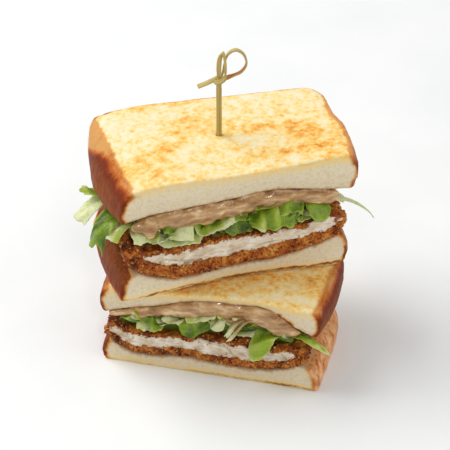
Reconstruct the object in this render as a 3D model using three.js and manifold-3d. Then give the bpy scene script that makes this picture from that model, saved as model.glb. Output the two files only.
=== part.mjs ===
// A chicken katsu sandwich of thick toasted bread, cut in two and stacked: each half holds a crumbed
// cutlet, cut lettuce and a thick brown sauce between two slices, and one knotted bamboo pick pins
// the halves together. Millimetres, +Z up. The origin is the middle of the face the stack rests on,
// +X runs to the right of the cut faces and +Y away from them, into the crust side.
import * as THREE from "three";
import { mergeVertices } from "three/addons/utils/BufferGeometryUtils.js";
import Module from "manifold-3d";

const wasm = await Module();
wasm.setup();

// Driving dimensions, mm
const HALF_LENGTH = 110; // along the knife cut, crust to crust
const HALF_DEPTH = 60; // from the cut to the crust behind it
const GAP = 0.3; // clearance between touching pieces
const LAYER_GAP = 0.7; // between two layers, whose faceted skins bend at different places
const CRUST_ROUND = 5; // rounding of a slice's crust side, top to bottom
const SWEEP_FROM = 27; // how far left of the middle the crust behind starts to sweep forward
const SWEEP_LONG = 30;
const CRUST_WAIST = { at: 0.62, wide: 0.12 }; // as shares of the depth, from the cut
const CRAG = { size: 3.1, deep: 1.1, proud: 0.9 }; // lumps of the crumb coat
const SAUCE_WAVE = { size: 7, deep: 0.5, dripApart: 17, dripProud: 1.4 };
const HEAP_FOLD = { size: 4.5, deep: 1.4 }; // unevenness of the lettuce heap
const LEAF_THICK = 0.9;
const CUT_TOLERANCE = 0.03;

// Where each half lies: the upper one is turned against the lower one and sits a little further back.
const LOWER = { turn: -17, x: 0, y: 0, z: 0 };
const UPPER = { turn: 12, x: -1.6, y: 12.5, z: 46 };

// Heights of the layers of each half above its own lowest plane. Each row runs along the cut in even
// steps from the left crust to the right crust; rim is the height of that layer at the crust side
// behind, where nothing squeezes the bread. Both slices are pressed thin over the cutlet.
const LOWER_LAYERS = {
  rest: { cut: [0, 0, 0, 0, 0, 0, 0, 0, 0], rim: 0 },
  breadTop: { cut: [17, 8, 6.8, 9.3, 8, 8.2, 8.8, 13.5, 22], rim: 19 },
  cutletTop: { cut: [23, 21.5, 21.3, 22.6, 23.7, 24, 24, 25.8, 27.5], rim: 24.5 },
  lettuceTop: { cut: [25.5, 28.5, 31, 34, 36, 37, 37, 31.5, 29], rim: 27 },
  sauceTop: { cut: [27.5, 32.5, 36, 41.2, 44.2, 44.6, 45, 36, 31], rim: 29 },
  top: { cut: [43.2, 44.6, 45.3, 46, 48.3, 49.2, 49.4, 47.6, 48.3], rim: 46 },
};
const UPPER_LAYERS = {
  rest: { cut: [0, 0, 1.8, 2.8, 3, 3.2, 2.3, 1, 0.2], rim: 0 },
  breadTop: { cut: [20, 12.2, 8.9, 10, 11.3, 11.2, 13.4, 16, 21.5], rim: 20 },
  cutletTop: { cut: [30, 28.6, 27.3, 28.7, 29.6, 29.2, 29.3, 31, 34], rim: 33 },
  lettuceTop: { cut: [38, 38.5, 38.5, 39.5, 40.5, 41.5, 41.2, 39.5, 40], rim: 39 },
  sauceTop: { cut: [43.8, 46.3, 47.3, 47.8, 48.8, 50.3, 48.8, 46, 44.2], rim: 42 },
  top: { cut: [60.7, 62.3, 63.1, 62.6, 62.2, 62.5, 63.1, 63.8, 63.9], rim: 63.5 },
};

// The pick stands upright through both halves.
const PICK = {
  x: -1.9, y: 16, radius: 1.3, tipZ: 14, tipLength: 7, neckZ: 139,
  strandWide: 1.1, strandThick: 0.55,
};

const smooth = (t) => t * t * (3 - 2 * t);
const clamp = (t, low, high) => Math.min(high, Math.max(low, t));
const mix = (a, b, t) => a + (b - a) * t;

// A smooth curve through evenly spaced heights, read by the share of the way along, 0 to 1.
function curveThrough(heights) {
  const last = heights.length - 1;
  const height = (i) => heights[clamp(i, 0, last)];
  return (share) => {
    const i = Math.min(last - 1, Math.floor(share * last));
    const t = share * last - i;
    const [a, b, c, d] = [height(i - 1), height(i), height(i + 1), height(i + 2)];
    return b + (t * (c - a + t * (2 * a - 5 * b + 4 * c - d + t * (3 * (b - c) + d - a)))) / 2;
  };
}

// The height of one layer over the half's plan: its cut profile, easing to the rim height behind.
function surface({ cut, rim }) {
  const along = curveThrough(cut);
  return (x, y) => {
    const share = clamp(x / HALF_LENGTH + 0.5, 0, 1);
    const back = clamp(y / HALF_DEPTH + 0.5, 0, 1);
    return mix(along(share), rim, smooth(back));
  };
}

// Rounded lumps of the given size over a surface, from 0 in the dips to 1 on the lumps.
function lumps(x, y, size) {
  const across = Math.sin(x / size + 1.3 * Math.sin(y / size + 0.7));
  const along = Math.cos(y / (0.8 * size) + 0.9 * Math.sin(x / (1.7 * size)));
  return 0.5 + 0.5 * across * along;
}

function solidOf(geometry) {
  const bare = geometry.index ? geometry.toNonIndexed() : geometry.clone();
  const shell = new THREE.BufferGeometry().setAttribute("position", bare.getAttribute("position"));
  const merged = mergeVertices(shell, 1e-4);
  return new wasm.Manifold(
    new wasm.Mesh({
      numProp: 3,
      vertProperties: new Float32Array(merged.attributes.position.array),
      triVerts: new Uint32Array(merged.index.array),
    }),
  );
}

function geometryOf(solid) {
  const mesh = solid.getMesh();
  return new THREE.BufferGeometry()
    .setAttribute("position", new THREE.BufferAttribute(new Float32Array(mesh.vertProperties), 3))
    .setIndex(new THREE.BufferAttribute(new Uint32Array(mesh.triVerts), 1));
}

// A box from -1 to 1 each way with its faces split into a grid, each point then put in place.
function warpedBox([alongX, alongY, alongZ], place) {
  const box = new THREE.BoxGeometry(2, 2, 2, alongX, alongY, alongZ);
  box.deleteAttribute("normal");
  box.deleteAttribute("uv");
  const grid = mergeVertices(box, 1e-4);
  const points = grid.attributes.position;
  const at = new THREE.Vector3();
  for (let i = 0; i < points.count; i++) {
    const [x, y, z] = place(at.fromBufferAttribute(points, i));
    points.setXYZ(i, x, y, z);
  }
  return grid;
}

// Moves a plan point of a rectangle so that the two corners away from the cut are round.
function roundBackCorners(x, y, outline) {
  const radius = x < 0 ? outline.cornerLeft : outline.cornerRight;
  const middle = x < 0 ? outline.left + radius : outline.right - radius;
  const p = Math.abs(x) > Math.abs(middle) ? x - middle : 0;
  const q = y - (outline.back - radius);
  if (p === 0 || q <= 0) return [x, y];
  const shrink = Math.max(Math.abs(p), q) / Math.hypot(p, q);
  return [middle + p * shrink, outline.back - radius + q * shrink];
}

// A slice of bread cut across: crust at both ends and behind, its edges rounded, and deeper at the
// left than at the right by twice the skew where the knife went askew. The crust behind may sweep
// forward by so many millimetres towards its left end. The ends lean in
// towards the top where the filling presses the middle down, less so behind where they ease, and
// belly out between cut and back, most at the lower edge; the right end has a slight waist.
function breadSlice(outline, bottom, top, drape = () => -Infinity) {
  return warpedBox([18, 7, 3], ({ x: a, y: b, z: c }) => {
    const isCrust = Math.max(Math.abs(a), b) > 0.99;
    const inset = isCrust ? CRUST_ROUND * (1 - Math.cos(c)) : 0;
    const shrinkX = 1 - (2 * inset) / HALF_LENGTH;
    const shrinkY = b > 0 ? 1 - (2 * inset) / HALF_DEPTH : 1;
    const spreadX = mix(outline.left, outline.right, (a * shrinkX + 1) / 2);
    const spreadY = mix(-HALF_DEPTH / 2, outline.back, (b * shrinkY + 1) / 2);
    const back = (b + 1) / 2;
    const up = (c + 1) / 2;
    const [straightX, straightY] = roundBackCorners(spreadX, spreadY, outline);
    const swept = outline.sweep * clamp(-(straightX + SWEEP_FROM) / SWEEP_LONG, 0, 1) ** 2;
    const y = straightY - back * ((outline.skew * straightX) / outline.right + swept);
    const end = a < 0 ? outline.leftEnd : outline.rightEnd;
    const belly = mix(end.bellyLow, end.bellyHigh, up) * Math.sin(Math.PI * back ** 0.9);
    const waist = end.waist * Math.exp(-(((back - CRUST_WAIST.at) / CRUST_WAIST.wide) ** 2));
    const lean = end.lean * up * (1 - end.ease * back);
    const x = straightX + Math.sign(a) * a ** 4 * (belly - waist - lean);
    const low = Math.max(bottom(x, y), drape(x, y));
    const drop = isCrust && c > 0.99 ? 0.2 * CRUST_ROUND : 0;
    return [x, y, mix(low, top(x, y) - drop, up)];
  });
}

// A layer of filling between two surfaces, its ends rounded off and its cut side flat.
// relief(x, y, c, isCut) gives how far the cut side stands proud and how deep the skin is carved in.
function fillingLayer({ left, right, front, back, endRound }, segments, bottom, top, relief) {
  const thinnest = 0.45; // share of the full height that is left at the rounded ends
  const deepest = 0.35; // share of the half height that a dip may take
  return warpedBox(segments, ({ x: a, y: b, z: c }) => {
    const x = mix(left, right, (a + 1) / 2);
    const y = mix(front, back, (b + 1) / 2);
    const fromEnd = Math.min(x - left, right - x, back - y);
    const open = Math.sqrt(1 - (1 - clamp(fromEnd / endRound, 0, 1)) ** 2);
    const low = bottom(x, y) + LAYER_GAP / 2;
    const high = top(x, y) - LAYER_GAP / 2;
    const half = ((high - low) / 2) * mix(thinnest, 1, open);
    const { proud, deep } = relief(x, y, c, b < -0.99);
    return [x, y - proud, (low + high) / 2 + c * (half - Math.min(deep, deepest * half))];
  });
}

// The crumb coat's crags: lumps a few millimetres across, on the coat above and below the meat.
function crumbCrags(x, y, c, isCut) {
  const lump = lumps(1.9 * x + 5 * c, 2.1 * y + 3 * c, CRAG.size);
  const isCoat = Math.abs(c) > 0.4;
  return { proud: isCut && isCoat ? CRAG.proud * lump : 0, deep: CRAG.deep * lump };
}

// Thick sauce: slow waves, and soft drips that bulge out over the cut.
function sauceWaves(x, y, c, isCut) {
  const drip = Math.max(0, Math.cos((Math.PI * x) / SAUCE_WAVE.dripApart)) ** 2;
  const proud = isCut ? SAUCE_WAVE.dripProud * drip * (1 - 0.5 * c) : 0;
  return { proud, deep: SAUCE_WAVE.deep * lumps(x, y, SAUCE_WAVE.size) };
}

const heapFolds = (x, y, c) => ({ proud: 0, deep: HEAP_FOLD.deep * lumps(x + 9 * c, y, HEAP_FOLD.size) });

// One cut leaf or strip: it leaves the heap at root, heads out in plan, and bends down along its
// length from one pitch to the other, with a ripple across it. Roll tips it sideways.
function leaf({ root, heading, length, width, pitch, ripple = 0.8, taper = 0.35, roll = 0 }) {
  const steps = 5;
  const spine = [[0, 0]];
  for (let i = 0; i < steps; i++) {
    const angle = THREE.MathUtils.degToRad(mix(pitch[0], pitch[1], (i + 0.5) / steps));
    const [out, up] = spine[i];
    spine.push([out + (length / steps) * Math.cos(angle), up + (length / steps) * Math.sin(angle)]);
  }
  const turn = THREE.MathUtils.degToRad(heading);
  const [dirX, dirY] = [Math.cos(turn), Math.sin(turn)];
  const tip = THREE.MathUtils.degToRad(roll);
  return warpedBox([steps, 3, 1], ({ x: a, y: b, z: c }) => {
    const step = Math.round(((a + 1) / 2) * steps);
    const [out, up] = spine[step];
    const angle = THREE.MathUtils.degToRad(mix(pitch[0], pitch[1], step / steps));
    const along = step / steps;
    const side = (b * width * (1 - taper * along ** 2)) / 2;
    const lift = (c * LEAF_THICK) / 2 + ripple * Math.sin(2.6 * b + 4 * along + root[0]);
    const reach = out - lift * Math.sin(angle);
    const level = side * Math.cos(tip);
    return [
      root[0] + dirX * reach - dirY * level,
      root[1] + dirY * reach + dirX * level,
      root[2] + up + side * Math.sin(tip) + lift * Math.cos(angle),
    ];
  });
}

const FRONT = -HALF_DEPTH / 2;
// heading -90 is out over the cut, 180 out of the left end and 0 out of the right end.
const UPPER_LEAVES = [
  { root: [-43, FRONT + 5, 38], heading: -92, length: 9, width: 14, pitch: [-5, -60] },
  { root: [-32.5, FRONT + 4, 41], heading: -90, length: 8, width: 7, pitch: [0, -70] },
  { root: [-27, FRONT + 5, 38.5], heading: -88, length: 10.5, width: 12, pitch: [-5, -62], taper: 0.1 },
  { root: [-27, FRONT + 4.5, 31.5], heading: -90, length: 7.5, width: 22, pitch: [-5, -35], ripple: 0.5 },
  { root: [-9, FRONT + 5, 37.5], heading: -88, length: 8, width: 24, pitch: [0, -40], roll: 14, ripple: 1 },
  { root: [0, FRONT + 5.5, 37.5], heading: -92, length: 11, width: 16, pitch: [-5, -65] },
  { root: [19, FRONT + 5, 39.5], heading: -90, length: 14, width: 28, pitch: [0, -70], ripple: 1.7 },
  { root: [38.5, FRONT + 5, 39.5], heading: -84, length: 13, width: 12, pitch: [0, -75], ripple: 0.4 },
  { root: [45, FRONT + 6, 39], heading: -25, length: 9, width: 6, pitch: [5, -40], ripple: 0.2, taper: 0 },
  { root: [-45, 6, 35.5], heading: 178, length: 21, width: 10, pitch: [12, 22], ripple: 0.4 },
  { root: [-46, 9, 36], heading: 208, length: 28, width: 9, pitch: [16, -36], ripple: 0.4, taper: 0.05 },
  { root: [-46, FRONT + 21, 35.5], heading: 206, length: 27, width: 13, pitch: [32, -80], ripple: 1 },
  { root: [-46, FRONT + 13, 35.5], heading: 214, length: 18, width: 7, pitch: [32, -60], ripple: 0.3 },
  { root: [44, FRONT + 7, 36.5], heading: -4, length: 32, width: 3, pitch: [0, -66], ripple: 0.2 },
  { root: [12, 18, 37], heading: 92, length: 15, width: 16, pitch: [0, -50] },
  { root: [-24, 18, 37], heading: 86, length: 14, width: 13, pitch: [0, -40] },
];
const LOWER_LEAVES = [
  { root: [-30, FRONT + 5, 30], heading: -85, length: 9, width: 17, pitch: [10, -55], roll: -20 },
  { root: [-31, FRONT + 4.5, 25.5], heading: -92, length: 7, width: 10, pitch: [0, -45] },
  { root: [-5, FRONT + 5, 32.5], heading: -90, length: 12, width: 24, pitch: [5, -60], roll: 15 },
  { root: [13, FRONT + 5, 34.5], heading: -92, length: 11, width: 22, pitch: [8, -60], ripple: 1.6 },
  { root: [30, FRONT + 5, 30.5], heading: -122, length: 19, width: 13, pitch: [-5, -75], ripple: 0.6 },
  { root: [31, FRONT + 5.5, 29.5], heading: -14, length: 30, width: 7, pitch: [16, -38], ripple: 0.6 },
  { root: [-8, 18, 28], heading: 88, length: 15, width: 15, pitch: [0, -45] },
];

function pickShaft() {
  const { radius, tipZ, tipLength, neckZ } = PICK;
  const outline = [
    [0, tipZ],
    [0.35, tipZ + 0.4],
    [radius, tipZ + tipLength],
    [radius, neckZ - 4],
    [0.75 * radius, neckZ],
    [0, neckZ],
  ];
  const shaft = new THREE.LatheGeometry(outline.map(([r, z]) => new THREE.Vector2(r, z)), 10);
  return shaft.rotateX(Math.PI / 2);
}

// The split strip above the neck: up, folded over and down, once round the neck, out into the open
// loop, back down behind the fold and out to the left as the tail. Heights are above the neck.
function pickKnot() {
  const route = [
    [0, 0, -3], [0.2, 0.2, 1], [0, 0.4, 6], [0.4, 0.6, 11], [1.7, 0.4, 14.2], [2.6, -0.5, 11.5],
    [3, -0.9, 6], [2.4, -1.6, 1.6], [-0.4, -2, -0.2], [-2, -0.2, -0.6], [-0.6, 1.8, -0.4], [2.4, 1.2, 0],
    [6.6, 0.2, 2.2], [10.4, 0, 4.4], [12.6, 0, 8.6], [11.2, 0.4, 13.4], [7.6, 1.2, 15.2], [4, 2, 12.2],
    [2.6, 2.6, 6.5], [1.6, 2.8, 1], [-1.4, 2.4, -0.8], [-5.4, 0.8, -1.9], [-9.8, -0.4, -3],
  ];
  const path = new THREE.CatmullRomCurve3(route.map((p) => new THREE.Vector3(...p)));
  const section = new THREE.Shape(
    new THREE.EllipseCurve(0, 0, PICK.strandThick, PICK.strandWide).getPoints(8).slice(0, 8),
  );
  const strand = new THREE.ExtrudeGeometry(section, { steps: 64, bevelEnabled: false, extrudePath: path });
  return strand.translate(0, 0, PICK.neckZ);
}

function knotPick() {
  return solidOf(pickShaft()).add(solidOf(pickKnot()));
}

// The clearance round the pick's shaft, in the frame of a half.
function pickHole(half) {
  const { radius, tipZ, neckZ } = PICK;
  const bore = new THREE.CylinderGeometry(radius + GAP, radius + GAP, neckZ - tipZ + 1, 10);
  bore.rotateX(Math.PI / 2).translate(PICK.x, PICK.y, (neckZ + tipZ - 1) / 2);
  bore.translate(-half.x, -half.y, -half.z);
  return solidOf(bore.rotateZ(THREE.MathUtils.degToRad(-half.turn)));
}

const BREAD = { color: 0xe0cda6, roughness: 0.85 };
const CUTLET = { color: 0xa65f28, roughness: 0.8 };
const LETTUCE = { color: 0x7f9a3a, roughness: 0.5 };
const SAUCE = { color: 0x9a7048, roughness: 0.35 };
const BAMBOO = { color: 0xb39a58, roughness: 0.6 };

function named(name, solid, look) {
  const mesh = new THREE.Mesh(geometryOf(solid), new THREE.MeshStandardMaterial({ metalness: 0, ...look }));
  mesh.name = name;
  return mesh;
}

// Cuts a piece clear of its neighbours by the gap, drops any scrap that this leaves loose and joins
// points that it leaves closer than the tolerance.
function clearOf(solid, neighbours) {
  let rest = solid;
  for (const neighbour of neighbours)
    for (const shift of [[0, 0, GAP], [0, 0, -GAP], [0, -GAP, 0]])
      rest = rest.subtract(neighbour.translate(shift));
  const whole = rest.decompose().reduce((a, b) => (b.volume() > a.volume() ? b : a));
  return whole.simplify(CUT_TOLERANCE);
}

// The five solids of one half in its own frame. The lettuce gives way to what it lies between.
function halfSolids({ half, layers, outlines, fillings, leaves }, drape) {
  const s = Object.fromEntries(Object.entries(layers).map(([key, layer]) => [key, surface(layer)]));
  const overSauce = (x, y) => s.sauceTop(x, y) + LAYER_GAP / 2;
  const underCutlet = (x, y) => s.breadTop(x, y) - LAYER_GAP / 2;
  const hole = pickHole(half);
  const pierced = (geometry) => solidOf(geometry).subtract(hole);
  const layer = (name, segments, low, high, relief) =>
    fillingLayer(fillings[name], segments, s[low], s[high], relief);
  const bottomSlice = pierced(breadSlice(outlines.bottom, s.rest, underCutlet, drape));
  const cutlet = pierced(layer("cutlet", [30, 8, 4], "breadTop", "cutletTop", crumbCrags));
  const sauce = pierced(layer("sauce", [20, 5, 2], "lettuceTop", "sauceTop", sauceWaves));
  const topSlice = pierced(breadSlice(outlines.top, overSauce, s.top));
  let heap = pierced(layer("lettuce", [18, 6, 2], "cutletTop", "lettuceTop", heapFolds));
  for (const one of leaves) heap = heap.add(solidOf(leaf(one)));
  const greens = clearOf(heap, [bottomSlice, cutlet, sauce, topSlice]);
  return { bottomSlice, cutlet, greens, sauce, topSlice };
}

// One half of the sandwich as a group of named meshes, turned and lifted to where it lies.
function halfGroup(name, half, { bottomSlice, cutlet, greens, sauce, topSlice }) {
  const group = new THREE.Group();
  group.add(
    named(`${name}_bottom_slice`, bottomSlice, BREAD),
    named(`${name}_cutlet`, cutlet, CUTLET),
    named(`${name}_lettuce`, greens, LETTUCE),
    named(`${name}_sauce`, sauce, SAUCE),
    named(`${name}_top_slice`, topSlice, BREAD),
  );
  group.position.set(half.x, half.y, half.z);
  group.rotation.z = THREE.MathUtils.degToRad(half.turn);
  return group;
}

// The lower half's top, seen from the upper half's frame: the upper half drapes on it.
function lowerTopUnderUpper() {
  const top = surface(LOWER_LAYERS.top);
  const turn = THREE.MathUtils.degToRad(UPPER.turn - LOWER.turn);
  const back = THREE.MathUtils.degToRad(-LOWER.turn);
  const pivot = new THREE.Vector2();
  const shift = new THREE.Vector2(UPPER.x - LOWER.x, UPPER.y - LOWER.y).rotateAround(pivot, back);
  return (x, y) => {
    const p = new THREE.Vector2(x, y).rotateAround(pivot, turn).add(shift);
    const inside = Math.abs(p.x) < HALF_LENGTH / 2 + 3 && Math.abs(p.y) < HALF_DEPTH / 2 + 3;
    return inside ? top(p.x, p.y) + LOWER.z - UPPER.z + 2 * GAP : -Infinity;
  };
}

const LOWER_HALF = {
  half: LOWER,
  layers: LOWER_LAYERS,
  outlines: {
    bottom: {
      left: -55, right: 55, back: 30, skew: 0, sweep: 0, cornerLeft: 9, cornerRight: 12,
      leftEnd: { lean: 3, ease: 0, bellyLow: 1, bellyHigh: 1, waist: 0 },
      rightEnd: { lean: 8, ease: 0, bellyLow: 1, bellyHigh: 2.5, waist: 0 },
    },
    top: {
      left: -54.5, right: 53, back: 30, skew: 0, sweep: 0, cornerLeft: 9, cornerRight: 12,
      leftEnd: { lean: 0, ease: 0, bellyLow: 2, bellyHigh: 1, waist: 0 },
      rightEnd: { lean: -1, ease: 0, bellyLow: 4, bellyHigh: 1, waist: 0 },
    },
  },
  fillings: {
    cutlet: { left: -52, right: 48, front: FRONT - 0.3, back: 24, endRound: 6 },
    lettuce: { left: -46, right: 42, front: FRONT + 2.5, back: 21, endRound: 4 },
    sauce: { left: -46, right: 40, front: FRONT + 0.8, back: 20, endRound: 5 },
  },
  leaves: LOWER_LEAVES,
};
const UPPER_HALF = {
  half: UPPER,
  layers: UPPER_LAYERS,
  outlines: {
    bottom: {
      left: -58.5, right: 55.5, back: 31, skew: 3, sweep: 0, cornerLeft: 6, cornerRight: 12,
      leftEnd: { lean: 8, ease: 0, bellyLow: 2.6, bellyHigh: 6, waist: 0 },
      rightEnd: { lean: 1, ease: 0, bellyLow: 0, bellyHigh: 1, waist: 0 },
    },
    top: {
      left: -57, right: 58.8, back: 38.8, skew: 4, sweep: 7, cornerLeft: 3, cornerRight: 10,
      leftEnd: { lean: 4, ease: 0.6, bellyLow: 6, bellyHigh: 0.5, waist: 0 },
      rightEnd: { lean: 0, ease: 0, bellyLow: 1.5, bellyHigh: 3.5, waist: 2.4 },
    },
  },
  fillings: {
    cutlet: { left: -53.5, right: 53, front: FRONT - 0.3, back: 25, endRound: 6 },
    lettuce: { left: -48, right: 48, front: FRONT + 2.5, back: 22, endRound: 4 },
    sauce: { left: -46, right: 48, front: FRONT + 0.8, back: 21, endRound: 5 },
  },
  leaves: UPPER_LEAVES,
};

const lowerSolids = halfSolids(LOWER_HALF);
const upperSolids = halfSolids(UPPER_HALF, lowerTopUnderUpper());
const sandwich = new THREE.Group();
sandwich.add(halfGroup("lower", LOWER, lowerSolids), halfGroup("upper", UPPER, upperSolids));
const pick = named("knot_pick", knotPick(), BAMBOO);
pick.position.set(PICK.x, PICK.y, 0);
sandwich.add(pick);

export default sandwich;
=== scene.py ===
import itertools
import math

import bmesh
import bpy
import numpy as np
from mathutils import Matrix, Vector
from mathutils.bvhtree import BVHTree
from mathutils.kdtree import KDTree


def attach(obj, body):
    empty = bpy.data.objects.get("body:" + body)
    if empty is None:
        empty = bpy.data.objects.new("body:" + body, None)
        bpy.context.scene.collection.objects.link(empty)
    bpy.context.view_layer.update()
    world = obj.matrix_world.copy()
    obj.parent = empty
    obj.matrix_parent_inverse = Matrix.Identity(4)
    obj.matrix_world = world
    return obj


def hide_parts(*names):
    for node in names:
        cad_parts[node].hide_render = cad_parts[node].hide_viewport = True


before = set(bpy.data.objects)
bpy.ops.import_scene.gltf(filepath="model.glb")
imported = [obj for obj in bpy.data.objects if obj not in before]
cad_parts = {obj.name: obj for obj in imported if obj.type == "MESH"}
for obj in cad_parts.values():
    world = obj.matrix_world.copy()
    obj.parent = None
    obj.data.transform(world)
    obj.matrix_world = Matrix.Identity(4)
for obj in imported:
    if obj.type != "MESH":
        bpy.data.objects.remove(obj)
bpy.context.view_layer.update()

# A katsu sandwich of thick griddled bread, cut in two and stacked, with a knotted bamboo pick.
# Every length below is in millimetres and becomes metres where a mesh is made.
MM = 0.001

# Where the halves lie, as in the part: the turn in degrees and the middle of each half's lowest plane.
LOWER = {"turn": -17.0, "at": (0.0, 0.0, 0.0), "name": "lower"}
UPPER = {"turn": 12.0, "at": (-1.6, 12.5, 46.0), "name": "upper"}
HALF_LENGTH = 110.0
CUT_Y = -30.0

PICK_AT = (-1.9, 16.0)
PICK_RADIUS = 1.3
PICK_NECK_Z = 139.0
PICK_TIP_Z = 14.0

# A turn about all three axes, so that the coat's crags don't line up with its sides.
ASKEW = np.array(((0.80, -0.48, 0.36), (0.60, 0.64, -0.48), (0.0, 0.60, 0.80)))

# How fine the remeshed pieces are: the side of the small cubes that each is rebuilt from.
BREAD_VOXEL = 0.75
COAT_VOXEL = 0.6
SAUCE_VOXEL = 0.7


# ---------------------------------------------------------------- small tools

def smoothstep(low, high, value):
    """A smooth ramp from 0 at low to 1 at high, where low may be the larger."""
    t = np.clip((value - low) / (high - low), 0.0, 1.0)
    return t * t * (3.0 - 2.0 * t)


def mix(a, b, t):
    """The share t of the way from a to b."""
    return a + (b - a) * t


def lumps(points, size, seed):
    """Smooth noise from -1 to 1 whose lumps are about size across, at points in millimetres."""
    scaled = np.asarray(points, float) / size + 17.3 * seed
    cell = np.floor(scaled).astype(np.int64)
    part = scaled - cell
    part = part * part * (3.0 - 2.0 * part)
    total = np.zeros(len(scaled))
    for corner in itertools.product((0, 1), repeat=3):
        at = cell + corner
        mixed = at[:, 0] * 73856093 ^ at[:, 1] * 19349663 ^ at[:, 2] * 83492791 ^ seed * 2654435761
        mixed = (mixed ^ (mixed >> 13)) * 1274126177
        value = ((mixed ^ (mixed >> 16)) & 0xFFFF) / 32767.5 - 1.0
        total += value * np.prod(np.where(corner, part, 1.0 - part), axis=1)
    return total


def profile(values, share):
    """A smooth curve through evenly spaced values, read at shares of the way along from 0 to 1."""
    values = np.asarray(values, float)
    place = np.clip(share, 0.0, 1.0) * (len(values) - 1)
    i = np.minimum(place.astype(int), len(values) - 2)
    t = place - i
    a, b, c, d = (values[np.clip(i + k, 0, len(values) - 1)] for k in (-1, 0, 1, 2))
    return b + t * (c - a + t * (2 * a - 5 * b + 4 * c - d + t * (3 * (b - c) + d - a))) / 2


def spun(vectors, degrees):
    """Vectors turned about the upright axis."""
    turn = math.radians(degrees)
    vectors = np.asarray(vectors, float)
    out = vectors.copy()
    out[:, 0] = vectors[:, 0] * math.cos(turn) - vectors[:, 1] * math.sin(turn)
    out[:, 1] = vectors[:, 0] * math.sin(turn) + vectors[:, 1] * math.cos(turn)
    return out


def to_half(points, half):
    """Points of the part in the frame of a half: x along the cut, y into the depth, z up."""
    return spun(points - np.array(half["at"]), -half["turn"])


def from_half(points, half):
    """Points of a half in the frame of the part."""
    return spun(points, half["turn"]) + np.array(half["at"])


def vertices_of(mesh):
    """The points of a mesh in millimetres."""
    flat = np.empty(len(mesh.vertices) * 3)
    mesh.vertices.foreach_get("co", flat)
    return flat.reshape(-1, 3) / MM


def normals_of(mesh):
    """The directions that a mesh's points face."""
    flat = np.empty(len(mesh.vertices) * 3)
    mesh.vertices.foreach_get("normal", flat)
    return flat.reshape(-1, 3)


def set_vertices(mesh, points):
    """Moves a mesh's points to places in millimetres."""
    mesh.vertices.foreach_set("co", (np.asarray(points) * MM).ravel())
    mesh.update()


def set_mask(mesh, name, values):
    """Stores a number or a vector at every point of a mesh, for its material to read."""
    values = np.asarray(values, np.float32)
    wide = values.ndim == 2 and values.shape[1] == 3
    layer = mesh.attributes.new(name, "FLOAT_VECTOR" if wide else "FLOAT", "POINT")
    layer.data.foreach_set("vector" if wide else "value", values.ravel())


def new_object(name, mesh, material):
    """A smooth-shaded object of one material in the scene."""
    piece = bpy.data.objects.new(name, mesh)
    bpy.context.scene.collection.objects.link(piece)
    mesh.materials.clear()
    mesh.materials.append(material)
    mesh.polygons.foreach_set("use_smooth", [True] * len(mesh.polygons))
    return piece


def new_mesh(name, points, faces):
    """A mesh from points in millimetres, its faces turned outwards."""
    mesh = bpy.data.meshes.new(name)
    mesh.from_pydata((np.asarray(points) * MM).tolist(), [], [list(map(int, face)) for face in faces])
    shell = bmesh.new()
    shell.from_mesh(mesh)
    bmesh.ops.recalc_face_normals(shell, faces=shell.faces)
    shell.to_mesh(mesh)
    shell.free()
    return mesh


def fine_copy(name, node, voxel, smoothing, blobs=()):
    """A fine, even mesh in the place of a CAD node, its facets smoothed away, and with round blobs
    melted into it, each given by its middle and its radii."""
    shell = bmesh.new()
    shell.from_mesh(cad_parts[node].data)
    bmesh.ops.remove_doubles(shell, verts=shell.verts, dist=1e-3 * MM)
    for middle, radii in blobs:
        stretch = Matrix.Diagonal((*(radius * MM for radius in radii), 1.0))
        place = Matrix.Translation(Vector(middle) * MM) @ stretch
        bmesh.ops.create_icosphere(shell, subdivisions=3, radius=1.0, matrix=place)
    coarse = bpy.data.meshes.new(name + "_coarse")
    shell.to_mesh(coarse)
    shell.free()
    holder = bpy.data.objects.new(name + "_holder", coarse)
    bpy.context.scene.collection.objects.link(holder)
    even = holder.modifiers.new("even", "REMESH")
    even.mode = "VOXEL"
    even.voxel_size = voxel * MM
    soft = holder.modifiers.new("soft", "SMOOTH")
    soft.factor = 0.5
    soft.iterations = smoothing
    graph = bpy.context.evaluated_depsgraph_get()
    mesh = bpy.data.meshes.new_from_object(holder.evaluated_get(graph))
    mesh.name = name
    bpy.data.objects.remove(holder)
    bpy.data.meshes.remove(coarse)
    return mesh


def probe(node, half):
    """A ray finder on a CAD node in its half's frame, in millimetres."""
    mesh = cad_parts[node].data
    points = to_half(vertices_of(mesh), half)
    return BVHTree.FromPolygons(points.tolist(), [list(p.vertices) for p in mesh.polygons])


# A height well clear of the part, to look at it from.
FAR = 300.0


def height(tree, x, y, from_above):
    """The height of a solid's upper or lower skin over a point of the plan, or None beside it."""
    start = Vector((x, y, FAR if from_above else -FAR))
    hit = tree.ray_cast(start, Vector((0, 0, -1.0 if from_above else 1.0)))
    return hit[0].z if hit[0] else None


def nearest_height(tree, x, y, from_above):
    """The same, read a little further in wherever the solid doesn't reach."""
    for share in (1.0, 0.93, 0.86, 0.78, 0.7, 0.6, 0.5):
        found = height(tree, share * x, share * y, from_above)
        if found is not None:
            return found
    raise ValueError("no solid there")


def distance_to(points, chosen):
    """How far each point is from the nearest chosen one."""
    picked = points[chosen]
    tree = KDTree(len(picked))
    for i, point in enumerate(picked):
        tree.insert(point, i)
    tree.balance()
    return np.array([tree.find(point)[2] for point in points])


def tube_faces(stations, ring):
    """The faces of a closed tube through rings of points, its ends closed by ladders of quads."""
    faces = []
    for s, i in itertools.product(range(stations - 1), range(ring)):
        j = (i + 1) % ring
        faces.append((s * ring + i, s * ring + j, (s + 1) * ring + j, (s + 1) * ring + i))
    for s, i in itertools.product((0, stations - 1), range(ring // 2 - 1)):
        faces.append((s * ring + i, s * ring + i + 1, s * ring + ring - 2 - i, s * ring + ring - 1 - i))
    return faces


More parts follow.
